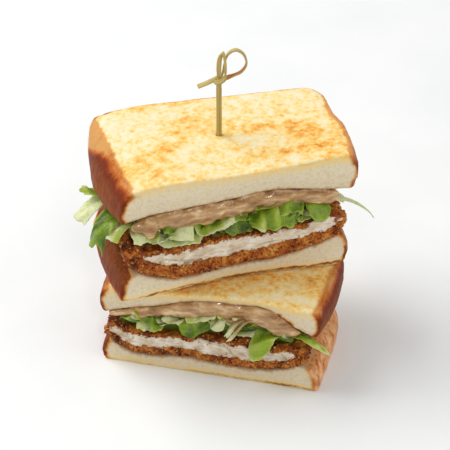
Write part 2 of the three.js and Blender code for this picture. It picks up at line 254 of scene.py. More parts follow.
def joined(parts):
    """One list of points, faces and masks from many parts."""
    points = np.concatenate([part[0] for part in parts])
    faces = []
    start = 0
    for part in parts:
        faces += [tuple(i + start for i in face) for face in part[1]]
        start += len(part[0])
    masks = {name: np.concatenate([part[2][name] for part in parts]) for name in parts[0][2]}
    return points, faces, masks


def place_piece(name, node, mesh, masks, look):
    """Puts a mesh with its masks in the place of a CAD node."""
    for key, values in masks.items():
        set_mask(mesh, key, values)
    piece = new_object(name, mesh, look)
    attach(piece, "root")
    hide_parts(node)


# ---------------------------------------------------------------- materials

# The sockets of a Mix node set to colours: the share of the second colour, both colours and the result.
SHARE, FIRST, SECOND, MIXED = 0, 6, 7, 2


def linear(hexadecimal):
    """An sRGB hex colour as the linear RGBA that shaders take."""
    channels = [int(hexadecimal[i:i + 2], 16) / 255 for i in (1, 3, 5)]
    return [c / 12.92 if c <= 0.04045 else ((c + 0.055) / 1.055) ** 2.4 for c in channels] + [1.0]


def add(tree, kind, inputs=None, output=0, stops=(), **settings):
    """Adds a shader node with its settings and ramp stops, puts a number, a hex colour or another
    node's output into each input given, and returns one of its own outputs."""
    made = tree.nodes.new("ShaderNode" + kind)
    for name, value in settings.items():
        setattr(made, name, value)
    for socket, value in (inputs or {}).items():
        if isinstance(value, bpy.types.NodeSocket):
            tree.links.new(value, made.inputs[socket])
        else:
            made.inputs[socket].default_value = linear(value) if isinstance(value, str) else value
    if stops:
        elements = made.color_ramp.elements
        while len(elements) < len(stops):
            elements.new(0.5)
        for element, (position, colour) in zip(elements, stops):
            element.position = position
            element.color = linear(colour) if isinstance(colour, str) else [colour] * 3 + [1.0]
    return made.outputs[output] if made.outputs else None


def weighted(tree, start, *terms):
    """A number plus other numbers times their weights, not clamped."""
    total = start
    for term, weight in terms:
        total = add(tree, "Math", {0: term, 1: weight, 2: total}, operation="MULTIPLY_ADD")
    return total


def coated(tree, colour, *coats):
    """A colour under others laid over it in turn, each as thick as its share says."""
    for share, coat in coats:
        colour = add(tree, "Mix", {SHARE: share, FIRST: colour, SECOND: coat}, MIXED, data_type="RGBA")
    return colour


def new_material(name):
    """A bare material, its node tree, and where each point lies on the object in millimetres."""
    material = bpy.data.materials.new(name)
    material.use_nodes = True
    tree = material.node_tree
    tree.nodes.clear()
    metres = add(tree, "TexCoord", output="Object")
    place = add(tree, "VectorMath", {0: metres, 1: (1000.0,) * 3}, operation="MULTIPLY")
    return material, tree, place


def griddled_bread():
    """Milk loaf griddled in butter: matt open crumb at the cut, cream faces mottled amber where they
    touched the griddle, and a thin crust, gold at its rim, darkest just under it and with lighter
    brown streaks below painted as its sheen, with a satin gloss. Its paler parts towards one end are
    partly their own colour and partly a painted highlight, and the crumb darkens towards the
    filling, partly with stains and partly with painted shade."""
    material, tree, place = new_material("griddled_milk_bread")
    crust, toast, butter, rim, light, scorch, stain_and_shade, griddled = (
        add(tree, "Attribute", output="Fac", attribute_name=name)
        for name in ("crust", "toast", "butter", "rim", "light", "scorch", "stain_and_shade", "griddled"))
    # Streaks 1.6 mm wide run up and down the crust. The rest, by its width in millimetres, is the
    # crumb's nap, its pores, the grains of toast, blots and slow changes. Real pores and grains are
    # finer: these are drawn as coarse as they need to be to show.
    upright = add(tree, "VectorMath", {0: place, 1: (1.0, 1.0, 0.22)}, operation="MULTIPLY")
    streaks, nap, pores, grain, blots, soft = (
        add(tree, "TexNoise", {"Vector": at, "Scale": 1 / width, "Detail": detail, "Roughness": rough})
        for at, width, detail, rough in (
            (upright, 1.6, 3, 0.6), (place, 0.9, 4, 0.6), (place, 1.4, 3, 0.6), (place, 2.2, 4, 0.6),
            (place, 4.5, 4, 0.6), (place, 5, 2, 0.5)))

    # Butter soaks into the crumb beside the toast, and the last of it is singed in blots.
    open_pores = add(tree, "ValToRGB", {0: pores}, stops=((0.3, 0.0), (0.55, 1.0)))
    buttered = add(tree, "ValToRGB", {0: butter}, stops=((0.0, 0.0), (0.6, 1.0)))
    singed = add(tree, "ValToRGB", {0: butter}, stops=((0.6, 0.0), (0.95, 1.0)))
    at_toast = add(tree, "ValToRGB", {0: butter}, stops=((0.6, 0.0), (0.85, 1.0)))
    in_blots = add(tree, "ValToRGB", {0: blots}, stops=((0.4, 0.0), (0.53, 1.0)))
    burnt = add(tree, "Math", {0: at_toast, 1: in_blots}, operation="MULTIPLY", use_clamp=True)

    # Small grains of cream and amber, thick together where the griddle was hottest.
    browning = weighted(tree, -1.12, (griddled, 1.0), (grain, 1.15), (soft, 0.9))
    toasted = add(tree, "ValToRGB", {0: browning}, stops=(
        (0.06, "#f0e3c3"), (0.28, "#f0dba2"), (0.5, "#f2c873"), (0.72, "#e8a145"), (1.0, "#c96c20")))

    # The baked crust by its depth under the rim, with lighter streaks painted on as the sheen of its
    # wrinkles, and its paler parts, partly their own colour and partly a painted highlight.
    depth = weighted(tree, -0.13, (rim, 1.0), (soft, 0.1), (streaks, 0.16))
    baked = add(tree, "ValToRGB", {0: depth}, stops=(
        (0.0, "#d39a58"), (0.1, "#bb6420"), (0.19, "#8f3606"), (0.28, "#702602"), (0.55, "#773206"),
        (1.0, "#813c0b")))
    sheen_streaks = add(tree, "ValToRGB", {0: streaks}, stops=((0.45, 0.0), (0.75, 0.65)))
    under_rim = add(tree, "ValToRGB", {0: rim}, stops=((0.25, 0.0), (0.5, 1.0)))
    painted_sheen = add(tree, "Math", {0: sheen_streaks, 1: under_rim}, operation="MULTIPLY", use_clamp=True)
    peach_and_highlight = add(tree, "ValToRGB", {0: weighted(tree, 0.0, (streaks, 0.5), (soft, 0.5))},
                stops=((0.37, "#b9622a"), (0.48, "#e7a063"), (0.62, "#fccb98")))
    side = coated(tree, baked, (painted_sheen, "#9e5c22"), (light, peach_and_highlight))

    # Between crumb or toast and crust lies a narrow golden band.
    band = add(tree, "ValToRGB", {0: crust}, stops=((0.0, 0.0), (0.5, 1.0)))
    past_band = add(tree, "ValToRGB", {0: crust}, stops=((0.45, 0.0), (0.9, 1.0)))
    # Near the filling the crumb is darkened, partly by stains and partly by painted shade.
    colour = coated(tree, "#d9c8a6", (open_pores, "#e6d8ba"), (buttered, "#efd08a"), (singed, "#bd7c36"),
                    (burnt, "#85450f"), (stain_and_shade, "#a87a49"), (toast, toasted), (band, "#d99a50"),
                    (past_band, side), (scorch, "#7f3a10"))
    satin = weighted(tree, 0.85, (crust, -0.42), (streaks, 0.25))
    napped = add(tree, "Bump", {"Height": nap, "Distance": 0.14 * MM})
    grooves = add(tree, "Math", {0: crust, 1: streaks}, operation="MULTIPLY", use_clamp=True)
    relief = add(tree, "Bump", {"Height": grooves, "Distance": 0.6 * MM, "Normal": napped})
    surface = add(tree, "BsdfPrincipled", {
        "Base Color": colour, "Roughness": satin, "Specular IOR Level": 0.15, "Normal": relief,
        "Subsurface Weight": 0.1, "Subsurface Radius": (1.0, 0.6, 0.3), "Subsurface Scale": 0.002})
    add(tree, "OutputMaterial", {"Surface": surface})
    return material


def crumb_coat():
    """Fried panko: dry and craggy, orange-brown in lumps of darker and paler tone, a little darker
    beside the meat, and darker at the cutlet's left end, partly burnt and partly painted shadow."""
    material, tree, place = new_material("fried_panko")
    shade, soaked = (add(tree, "Attribute", output="Fac", attribute_name=name)
                     for name in ("shade", "soaked"))
    # The coat's rough skin, its flakes and slow changes, by their width in millimetres.
    skin, flakes, soft = (
        add(tree, "TexNoise", {"Vector": place, "Scale": 1 / wide, "Detail": detail, "Roughness": rough})
        for wide, detail, rough in ((0.8, 4, 0.65), (1.2, 4, 0.65), (5, 2, 0.5)))
    fried = weighted(tree, -0.75, (flakes, 1.0), (shade, 0.6), (soft, 0.9), (soaked, -0.08))
    colour = add(tree, "ValToRGB", {0: fried}, stops=(
        (0.1, "#481c0b"), (0.32, "#90400d"), (0.56, "#c47224"), (0.8, "#dc9a47"), (1.0, "#e6ba72")))
    relief = add(tree, "Bump", {"Height": skin, "Distance": 0.5 * MM})
    surface = add(tree, "BsdfPrincipled", {"Base Color": colour, "Roughness": 0.65,
                                           "Specular IOR Level": 0.3, "Normal": relief})
    add(tree, "OutputMaterial", {"Surface": surface})
    return material


def chicken():
    """Cooked chicken breast: pale, faintly moist, with fine fibres across the cut, and browned in
    specks where it meets the coat."""
    material, tree, place = new_material("chicken_breast")
    shade, soaked, crack_shade = (add(tree, "Attribute", output="Fac", attribute_name=name)
                            for name in ("shade", "soaked", "crack_shade"))
    # Fibres 1.3 mm wide along the cut, coarser than real ones so that they show, and flecks of 1.7 mm.
    drawn_out = add(tree, "VectorMath", {0: place, 1: (0.3, 1.0, 1.0)}, operation="MULTIPLY")
    fibres, flecks = (
        add(tree, "TexNoise", {"Vector": at, "Scale": 1 / width, "Detail": detail, "Roughness": rough})
        for at, width, detail, rough in ((drawn_out, 1.3, 4, 0.6), (place, 1.7, 3, 0.5)))
    # The meat follows the coat's tone, so it too is darker at the left end as painted shadow, and a
    # little darker in the lower half.
    meat = add(tree, "ValToRGB", {0: weighted(tree, 0.0, (fibres, 0.7), (shade, 0.3))},
               stops=((0.3, "#bfa584"), (0.5, "#dfd0ba"), (0.68, "#f1eadd")))
    browned = add(tree, "ValToRGB", {0: weighted(tree, 0.0, (flecks, 1.0), (soaked, -0.17))},
                  stops=((0.27, 0.9), (0.36, 0.0)))
    tinted = add(tree, "Math", {0: soaked, 1: 0.25}, operation="MULTIPLY", use_clamp=True)
    # Cracks show as lines painted darker, standing for the shade inside them.
    colour = coated(tree, meat, (tinted, "#c9a878"), (browned, "#8a6236"), (crack_shade, "#96805f"))
    relief = add(tree, "Bump", {"Height": fibres, "Distance": 0.18 * MM})
    surface = add(tree, "BsdfPrincipled", {
        "Base Color": colour, "Roughness": 0.5, "Specular IOR Level": 0.35, "Normal": relief,
        "Subsurface Weight": 0.2, "Subsurface Radius": (1.0, 0.7, 0.5), "Subsurface Scale": 0.002})
    add(tree, "OutputMaterial", {"Surface": surface})
    return material


def lettuce_leaf():
    """Crisp lettuce: waxy, thin and translucent, green at the frill, nearly white at the rib, with a
    net of pale veins that catches the light."""
    material, tree, _ = new_material("crisp_lettuce")
    tone, rib, coat = (add(tree, "Attribute", output="Fac", attribute_name=name)
                       for name in ("tone", "rib", "coat"))
    blade = add(tree, "Attribute", output="Vector", attribute_name="blade")
    # Veins about 3 mm apart, patches 4 mm wide and puckers 2.4 mm wide, on each leaf's own blade.
    cells = add(tree, "TexVoronoi", {"Vector": blade, "Scale": 0.32}, "Distance",
                feature="DISTANCE_TO_EDGE")
    veins = add(tree, "ValToRGB", {0: cells}, stops=((0.0, 1.0), (0.09, 0.0)))
    patches, puckers = (
        add(tree, "TexNoise", {"Vector": blade, "Scale": 1 / wide, "Detail": detail, "Roughness": rough})
        for wide, detail, rough in ((4.0, 3, 0.6), (2.4, 2, 0.5)))
    green = add(tree, "ValToRGB", {0: weighted(tree, -0.25, (tone, 1.0), (patches, 0.5))}, stops=(
        (0.0, "#3f5209"), (0.3, "#64800f"), (0.6, "#90a824"), (0.85, "#b9c45a"), (1.0, "#d9ddab")))
    net = add(tree, "Math", {0: veins, 1: 0.12}, operation="MULTIPLY", use_clamp=True)
    colour = coated(tree, green, (net, "#d6da93"), (rib, "#d5d3a6"), (coat, "#a17a4c"))
    ridges = weighted(tree, 0.0, (veins, 0.25), (puckers, 1.0))
    relief = add(tree, "Bump", {"Height": ridges, "Distance": 0.4 * MM})
    surface = add(tree, "BsdfPrincipled", {
        "Base Color": colour, "Roughness": 0.36, "Specular IOR Level": 0.4, "Normal": relief,
        "Subsurface Weight": 0.25, "Subsurface Radius": (0.6, 1.0, 0.15), "Subsurface Scale": 0.001})
    add(tree, "OutputMaterial", {"Surface": surface})
    return material


def brown_sauce():
    """Thick sesame and mustard sauce: opaque, smooth and wet, so that it shows small bright glints,
    with specks of ground seed in it."""
    material, tree, place = new_material("brown_sauce")
    # Swirls 3.5 mm wide, drawn out along the cut, and specks of seed 1.2 mm across.
    drawn_out = add(tree, "VectorMath", {0: place, 1: (0.35, 0.8, 1.2)}, operation="MULTIPLY")
    swirls, seeds = (
        add(tree, "TexNoise", {"Vector": at, "Scale": 1 / width, "Detail": detail, "Roughness": 0.5})
        for at, width, detail in ((drawn_out, 3.5, 3), (place, 1.2, 2)))
    stirred = add(tree, "ValToRGB", {0: swirls}, stops=(
        (0.32, "#86551f"), (0.45, "#a97a40"), (0.55, "#bd8f57"), (0.68, "#e0bf8c")))
    specks = add(tree, "ValToRGB", {0: seeds}, stops=((0.27, 0.6), (0.35, 0.0)))
    colour = coated(tree, stirred, (specks, "#7a5024"))
    relief = add(tree, "Bump", {"Height": swirls, "Distance": 0.6 * MM})
    surface = add(tree, "BsdfPrincipled", {
        "Base Color": colour, "Roughness": 0.18, "Specular IOR Level": 0.5, "Normal": relief,
        "Coat Weight": 0.8, "Coat Roughness": 0.06})
    add(tree, "OutputMaterial", {"Surface": surface})
    return material


def split_bamboo():
    """Split bamboo: straw coloured with a green cast, satin, with fibres along its length."""
    material, tree, _ = new_material("split_bamboo")
    line, inner = (add(tree, "Attribute", output="Fac", attribute_name=name)
                   for name in ("line", "inner"))
    # The strip's own coordinates are in fibres across and in long stretches of fibre along it.
    grain = add(tree, "Attribute", output="Vector", attribute_name="grain")
    fibres = add(tree, "TexNoise", {"Vector": grain, "Scale": 1.0, "Detail": 4.0})
    straw = add(tree, "ValToRGB", {0: fibres},
                stops=((0.3, "#968344"), (0.52, "#c0a960"), (0.75, "#d8c482")))
    colour = coated(tree, straw, (line, "#857236"), (inner, "#b8722e"))
    relief = add(tree, "Bump", {"Height": fibres, "Distance": 0.12 * MM})
    surface = add(tree, "BsdfPrincipled", {"Base Color": colour, "Roughness": 0.5, "Normal": relief})
    add(tree, "OutputMaterial", {"Surface": surface})
    return material


def pale_table():
    """A plain painted tabletop: pale and matt, with a trace of mottling 60 mm across."""
    material, tree, place = new_material("pale_table")
    mottling = add(tree, "TexNoise", {"Vector": place, "Scale": 1 / 60, "Detail": 2, "Roughness": 0.5})
    colour = add(tree, "ValToRGB", {0: mottling}, stops=((0.3, "#eef0ef"), (0.7, "#f4f5f4")))
    surface = add(tree, "BsdfPrincipled", {"Base Color": colour, "Roughness": 0.6})
    add(tree, "OutputMaterial", {"Surface": surface})
    return material


# ---------------------------------------------------------------- bread

# Where the griddle browned the upper face most: the middle of each patch in its half's plan, its
# reach along the cut and across it, its turn in degrees and its strength.
UPPER_PATCHES = [
    ((18, 4), (17, 3.5), -4, 0.34), ((40, -5), (9, 6), -20, 0.36), ((30, -18), (20, 3.5), 0, 0.4),
    ((-9, 19), (10, 4), 25, 0.3), ((-24, -1), (13, 4), 22, 0.26), ((46, -20), (8, 9), 0, 0.2),
    ((-36, -18), (14, 5), 10, 0.1), ((28, 11), (14, 1.2), -4, 0.2), ((-5, 10), (12, 5), 0, 0.12),
    ((-54, -14), (4.5, 16), 0, 0.3), ((58, -5), (4, 25), 0, 0.25),
    ((-12, 37), (60, 4.5), 3, 0.3),
]
UPPER_SCORCHES = [
    ((-50.8, -29.8, 58.8), (3.4, 1.6, 0.8), 1.0), ((-52.5, 33.6, 63), (1.6, 1.2, 3), 1.0),
    ((-47.5, 35.4, 63), (3.0, 1.0, 3), 1.0), ((60, 4, 60), (1.6, 2.2, 3), 0.8),
    ((58, 10, 58), (1.6, 1.8, 3), 0.8),
]
LOWER_PATCHES = [
    ((46, -9), (9, 8), -10, 0.35), ((24, -8), (12, 6), 0, 0.25), ((2, -20), (20, 5), 5, 0.2),
    ((48, 12), (8, 14), 0, 0.3), ((-10, -14), (30, 12), 0, 0.14),
]


def griddle_heat(local, patches, seed):
    """How hot the griddle was under each point: patches, slow unevenness and a cooler far side."""
    heat = 0.4 + 0.1 * lumps(local, 26.0, seed) + 0.08 * lumps(local, 11.0, seed + 1)
    heat -= 0.04 * smoothstep(19.0, 28.0, local[:, 1]) + 0.06 * smoothstep(-30.0, -50.0, local[:, 0])
    heat += 0.06 * smoothstep(-22.0, -28.0, local[:, 1])
    for (x, y), (reach_x, reach_y), turn, strength in patches:
        turn = math.radians(turn)
        along = (local[:, 0] - x) * math.cos(turn) + (local[:, 1] - y) * math.sin(turn)
        across = (local[:, 1] - y) * math.cos(turn) - (local[:, 0] - x) * math.sin(turn)
        heat += strength * np.exp(-(along / reach_x) ** 2 - (across / reach_y) ** 2)
    return heat


# How squarely a point of a slice has to face the cut, the griddle or the outside to belong to it,
# and how far round the pick's hole there is no crust.
FACES_CUT = 0.55
FACES_GRIDDLE = 0.72
FACES_OUT = 0.58
HOLE_REACH = 4.0


def bread(node, half, toasted_up, patches, pale, seared, look, scorches=()):
    """One slice: its mesh from the solid, open crumb at the cut, toast on one face and crust round
    it, the crust paler towards the right end by the given share, partly its own colour and partly a
    painted highlight, the crumb browned where it meets the toast as much as seared says and darker
    towards the filling, partly with stains and partly with painted shade, and small scorched places."""
    mesh = fine_copy(node + "_bread", node, BREAD_VOXEL, 9)
    points = vertices_of(mesh)
    normals = normals_of(mesh)
    local = to_half(points, half)
    facing = spun(normals, -half["turn"])
    seed = len(node) + int(half["at"][2])

    is_cut = (local[:, 1] < CUT_Y + 1.2) & (facing[:, 1] < -FACES_CUT)
    up = facing[:, 2] if toasted_up else -facing[:, 2]
    is_toast = (up > FACES_GRIDDLE) & ~is_cut
    outwards = np.hypot(facing[:, 0], np.maximum(facing[:, 1], 0.0))
    hole = np.hypot(points[:, 0] - PICK_AT[0], points[:, 1] - PICK_AT[1])
    is_crust = (outwards > FACES_OUT) & ~is_cut & (local[:, 1] > CUT_Y + 0.8) & (hole > HOLE_REACH)

    wobble = lumps(points, 2.5, seed) + 0.5 * lumps(points, 1.1, seed + 9)
    rolled = 1.6 * smoothstep(0.0, 30.0, local[:, 1])
    from_crust = distance_to(points, is_crust) + 0.6 * wobble + rolled * (up > 0.25)
    crust = 1.0 - smoothstep(0.9, 3.5, from_crust)
    edge = np.maximum(distance_to(points, is_toast) - rolled, 0.0)
    toast = 1.0 - smoothstep(0.4, 1.5, edge + 0.4 * wobble)
    spread = edge + 0.5 * wobble + 0.8 * lumps(points, 9.0, seed + 12)
    soaks_to = 6.0 if toasted_up else 4.5
    butter = 1.0 - smoothstep(0.3, soaks_to, spread)
    butter = mix(0.75, 1.0, smoothstep(-30.0, 30.0, local[:, 0])) * butter
    reach = 9.5 * smoothstep(0.0, 30.0, local[:, 1]) * smoothstep(-25.0, -50.0, local[:, 0])
    reach += 2.5 * smoothstep(15.0, 30.0, local[:, 1]) - 1.0
    rim = edge - reach + 1.2 * lumps(points, 6.0, seed + 5) + 0.5 * wobble
    rim = (rim + 1.8 * lumps(points, 15.0, seed + 15) * smoothstep(10.0, 30.0, local[:, 1])) / 18.0
    # Stains from the filling darken the crumb within about 1.7 mm of it, and a fainter painted shade
    # reaches 11 mm towards it.
    filling = distance_to(points, up < -FACES_GRIDDLE) + 0.6 * wobble
    stain_and_shade = 0.6 * (1.0 - smoothstep(0.2, 1.7, filling)) + 0.14 * (1.0 - smoothstep(0.0, 11.0, filling))
    # Paler crust towards the right end, partly its own paler colour and partly a painted highlight.
    light = pale * smoothstep(0.0, 40.0, local[:, 0]) * (1.0 + 0.3 * lumps(points, 9.0, seed + 13))
    near_cut = smoothstep(CUT_Y + 8.0, CUT_Y + 1.0, local[:, 1])
    rough = smoothstep(0.05, 0.45, lumps(points, 3.2, seed + 14)) * smoothstep(30.0, 46.0, local[:, 0])
    scorch = (0.25 if half is LOWER else 0.8) * rough * near_cut * smoothstep(0.25, 0.55, crust)
    for middle, reaches, strength in scorches:
        off = (local - middle) / reaches
        scorch = np.maximum(scorch, strength * np.exp(-np.sum(off * off, axis=1)))

    pores = np.maximum(lumps(points, 1.4, seed + 1) + 0.6 * lumps(points, 2.6, seed + 2) - 0.15, 0.0)
    open_crumb = -0.08 * pores + 0.15 * lumps(points, 9.0, seed + 3)
    griddled = 0.2 * lumps(points, 9.0, seed + 4) + 0.07 * lumps(points, 1.6, seed + 6)
    wrinkled = 0.12 * lumps(points * (1.0, 1.0, 0.2), 1.8, seed + 7)
    wrinkled = wrinkled + 0.35 * lumps(points, 12.0, seed + 8)
    cut_share = smoothstep(0.3, 0.8, -facing[:, 1]) * (local[:, 1] < CUT_Y + 3.0)
    move = mix(mix(griddled, wrinkled, crust), open_crumb, cut_share) - 0.5 * scorch
    points = points + normals * move[:, None]
    points[:, 2] = np.maximum(points[:, 2], 0.0)
    set_vertices(mesh, points)
    masks = {"crust": crust, "toast": toast, "butter": seared * butter, "rim": np.clip(rim, 0, 1),
             "light": np.clip(light, 0, 1), "scorch": scorch * (1.0 + 0.4 * wobble), "stain_and_shade": stain_and_shade,
             "griddled": griddle_heat(local, patches, seed + 11)}
    place_piece(node + "_bread", node, mesh, masks, look)


# ---------------------------------------------------------------- cutlet

# How thick the coat shows over and under the meat, at even steps along the cut, and at its ends.
TOP_COAT = {"lower": (0.6, 0.8, 1.2, 1.8), "upper": (2.6, 1.8, 0.7, 0.5)}
BOTTOM_COAT = {"lower": (3.4, 4.0, 4.4, 4.4), "upper": (7.6, 7.0, 6.4, 5.8)}
END_COAT = {"lower": (5.0, 5.0), "upper": (5.0, 2.5)}
CRUMBS = 3000


def cutlet(half, coat_look, meat_look):
    """A crumbed cutlet cut across: white meat in a thick craggy coat, with loose crumbs stuck on."""
    node = half["name"] + "_cutlet"
    solid = probe(node, half)
    mesh = fine_copy(node + "_coated", node, COAT_VOXEL, 6)
    points = vertices_of(mesh)
    normals = normals_of(mesh)
    local = to_half(points, half)
    facing = spun(normals, -half["turn"])
    seed = 20 + int(half["at"][2])

    stations = np.linspace(local[:, 0].min() + 1.0, local[:, 0].max() - 1.0, 60)
    low = np.array([height(solid, x, CUT_Y + 2.0, False) or 0.0 for x in stations])
    high = np.array([height(solid, x, CUT_Y + 2.0, True) or 0.0 for x in stations])
    share = local[:, 0] / HALF_LENGTH + 0.5
    left_coat, right_coat = END_COAT[half["name"]]
    under_coat = profile(BOTTOM_COAT[half["name"]], share)
    over_coat = profile(TOP_COAT[half["name"]], share)
    above = local[:, 2] - np.interp(local[:, 0], stations, low) - under_coat
    below = np.interp(local[:, 0], stations, high) - over_coat - local[:, 2]
    from_end = np.minimum(local[:, 0] - stations[0] - left_coat, stations[-1] - right_coat - local[:, 0])
    inside = np.minimum(np.minimum(above, below), 0.4 * from_end)
    inside = inside + 1.3 * lumps(points, 5.0, seed) + 0.7 * lumps(points, 1.6, seed + 1)
    on_cut = (local[:, 1] < CUT_Y + 2.5) & (facing[:, 1] < -0.3)
    meat = smoothstep(-0.4, 0.4, inside) * on_cut

    askew = points @ ASKEW
    crags = 0.9 * lumps(askew, 3.4, seed + 2) + 0.6 * (1.0 - 2.0 * np.abs(lumps(askew, 1.9, seed + 3)))
    crags += 0.7 * lumps(askew, 6.0, seed + 9) + 0.3 * lumps(askew, 0.9, seed + 4)
    fibres = 0.12 * lumps(local * (0.3, 1.0, 1.0), 1.6, seed + 5) + 0.3 * lumps(points, 6.0, seed + 6)
    move = mix(0.95 * crags - 0.3, fibres + 0.4, meat)
    set_vertices(mesh, points + normals * move[:, None])
    # Lines along the cut where the meat is painted darker, as the shade inside cracks.
    crack_shade = np.abs(lumps(local * (0.25, 1.0, 1.0), 6.0, seed + 7))
    crack_shade += 0.3 * smoothstep(-0.1, 0.4, lumps(points, 14.0, seed))
    # Lumps of darker and paler tone. Towards the left end the coat darkens, partly burnt and partly as
    # painted shadow in the hollow there, and the meat with it as painted shadow. The lower half is a
    # little darker all over.
    shade = 0.5 + 0.5 * lumps(askew, 3.0, seed + 8) - 0.35 * smoothstep(-38.0, -47.0, local[:, 0])
    shade = shade - (0.1 if half is LOWER else 0.0)
    soaked = smoothstep(1.7, 0.0, np.abs(inside)) * on_cut
    masks = {"shade": shade, "crack_shade": 0.8 - 0.8 * smoothstep(0.0, 0.07, crack_shade), "soaked": soaked}
    place_piece(node + "_coated", node, mesh, masks, coat_look)
    mesh.materials.append(meat_look)
    is_meat = meat > 0.5
    mesh.polygons.foreach_set("material_index", [int(is_meat[list(p.vertices)].mean() > 0.5)
                                                for p in mesh.polygons])
    panko(half, mesh, seed, coat_look)


def panko(half, mesh, seed, look):
    """Loose dry crumbs: small angular shards lying on the coat, most of them where it shows."""
    rng = np.random.default_rng(seed)
    points = vertices_of(mesh)
    normals = normals_of(mesh)
    coat = np.array([p.vertices[0] for p in mesh.polygons if p.material_index == 0])
    local = to_half(points[coat], half)
    facing = spun(normals[coat], -half["turn"])
    weight = 0.3 + 3.0 * (facing[:, 1] < -0.3) + 1.2 * (np.abs(facing[:, 0]) > 0.5)
    weight = weight + 0.6 * (local[:, 1] < CUT_Y + 6.0)
    chosen = rng.choice(coat, CRUMBS, p=weight / weight.sum())
    corners = np.array([(1, 0, 0), (-1, 0, 0), (0, 1, 0), (0, -1, 0), (0, 0, 1), (0, 0, -1)], float)
    sides = [(0, 2, 4), (2, 1, 4), (1, 3, 4), (3, 0, 4), (2, 0, 5), (1, 2, 5), (3, 1, 5), (0, 3, 5)]
    parts = []
    for vertex in chosen:
        size = rng.uniform(0.35, 0.95) * np.array((1.0, rng.uniform(0.5, 0.9), rng.uniform(0.25, 0.5)))
        spin = np.linalg.qr(rng.normal(size=(3, 3)))[0]
        shard = (corners * size + rng.normal(0.0, 0.12, (6, 3))) @ spin
        masks = {"shade": np.full(6, rng.uniform(0.0, 1.0)), "crack_shade": np.zeros(6), "soaked": np.zeros(6)}
        parts.append((points[vertex] + normals[vertex] * 0.25 + shard, sides, masks))
    points, faces, masks = joined(parts)
    node = half["name"] + "_cutlet"
    shards = new_mesh(node + "_crumbs", points, faces)
    place_piece(node + "_crumbs", node, shards, masks, look)
    shards.polygons.foreach_set("use_smooth", [False] * len(shards.polygons))


# ---------------------------------------------------------------- lettuce

# The leaves that show, close to those of the part: where each leaves the heap, where it heads (-90
# is out over the cut), its length and width, how it bends from one pitch to the other, and its look.
# Its tone is 0 for dark green and 1 for the pale yellow-green near a rib.
UPPER_LEAVES = [
    ((-43, -25, 38), -92, 9, 14, (-5, -60), {"tone": 0.95, "coat": 0.7, "crease": 1.6}),
    ((-32.5, -26, 41), -90, 8, 7, (0, -70), {"tone": 0.15}),
    ((-27, -25, 38.5), -88, 10.5, 12, (-5, -62), {"tone": 0.95, "taper": 0.1, "round": 0, "slant": 0.12,
                                                  "torn": 0.3, "crease": 1.0}),
    ((-27, -25.5, 31.5), -90, 7.5, 22, (-5, -35), {"tone": 0.9, "ripple": 0.5, "frill": 0.4}),
    ((-9, -25, 37.5), -88, 8, 24, (0, -40), {"tone": 0.7, "ripple": 1, "roll": 14, "frill": 0.5,
                                             "shade_along": -0.3}),
    ((0, -24.5, 37.5), -92, 11, 16, (-5, -65), {"tone": 0.15}),
    ((19, -25, 39.5), -90, 14, 28, (0, -70), {"tone": 0.36, "ripple": 1.7, "frill": 2.0, "crease": 3.0,
                                              "shade_along": -0.4, "round": 0.25}),
    ((25, -26.5, 42), -96, 9, 15, (10, -50), {"tone": 0.2, "ripple": 1.2, "frill": 1.2, "shade_along": -0.4}),
    ((38.5, -25, 39.5), -84, 13, 12, (0, -75), {"tone": 0.4, "ripple": 0.4, "round": 0.35, "frill": 0.3,
                                                "torn": 0.4}),
    ((45, -24, 39), -25, 9, 6, (5, -40), {"tone": 1, "ripple": 0.2, "taper": 0, "rib": 1, "frill": 0.1}),
    ((-45, 6, 35.5), 178, 21, 10, (12, 22), {"tone": 0.7, "ripple": 0.4}),
    ((-46, 9, 36), 208, 28, 9, (16, -36), {"tone": 1, "ripple": 0.4, "taper": 0.05, "round": 0,
                                           "frill": 0.2, "crease": 0.6, "rib": 0.5, "torn": 0.25}),
    ((-46, -9, 35.5), 206, 27, 13, (32, -80), {"tone": 0.2, "ripple": 1, "round": -0.1}),
    ((-46, -16, 35.5), 212, 17, 7, (32, -60), {"tone": 0.9, "ripple": 0.3, "taper": 0.1, "rib": 0.8,
                                               "round": 0, "frill": 0.2, "torn": 0.4}),
    ((44, -23, 36.5), -4, 32, 3, (0, -66), {"tone": 1, "ripple": 0.2, "frill": 0.2, "crease": 0.3}),
    ((12, 18, 37), 92, 15, 16, (0, -50), {"tone": 0.5}),
    ((-24, 18, 37), 86, 14, 13, (0, -40), {"tone": 0.6}),
]
